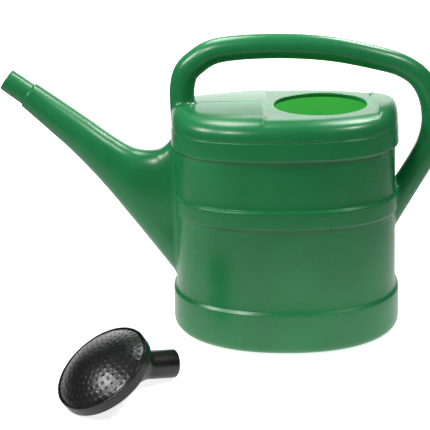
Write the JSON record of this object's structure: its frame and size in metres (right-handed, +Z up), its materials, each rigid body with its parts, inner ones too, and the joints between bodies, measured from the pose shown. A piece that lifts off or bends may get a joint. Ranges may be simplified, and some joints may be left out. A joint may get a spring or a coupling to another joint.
{
  "type": "watering can",
  "caption": "Oval moulded plastic watering can with a loop handle over the top, a long tapered spout, a round filler opening and a loose domed rose lying beside it.",
  "frame": {"origin": "on the floor under the middle of the tank, in the can's middle plane", "axes": "+Z up; +X towards the back of the handle, so the spout points to -X; the can's middle plane is y = 0"},
  "size_m": [0.4954, 0.3309, 0.3414],
  "materials": {
    "can_plastic": "satin blow-moulded polyethylene, slightly translucent",
    "rose_plastic": "satin black moulded polypropylene"
  },
  "bodies": {
    "can": {"tank": "can_plastic", "spout": "can_plastic", "handle": "can_plastic"},
    "rose": {"rose_shell": "rose_plastic", "rose_face": "rose_plastic"}
  },
  "joints": [
    {"name": "rose_lift", "type": "slide", "parent": "can", "child": "rose", "axis": [0, 0, 1], "range_m": [0, 0.3]}
  ]
}
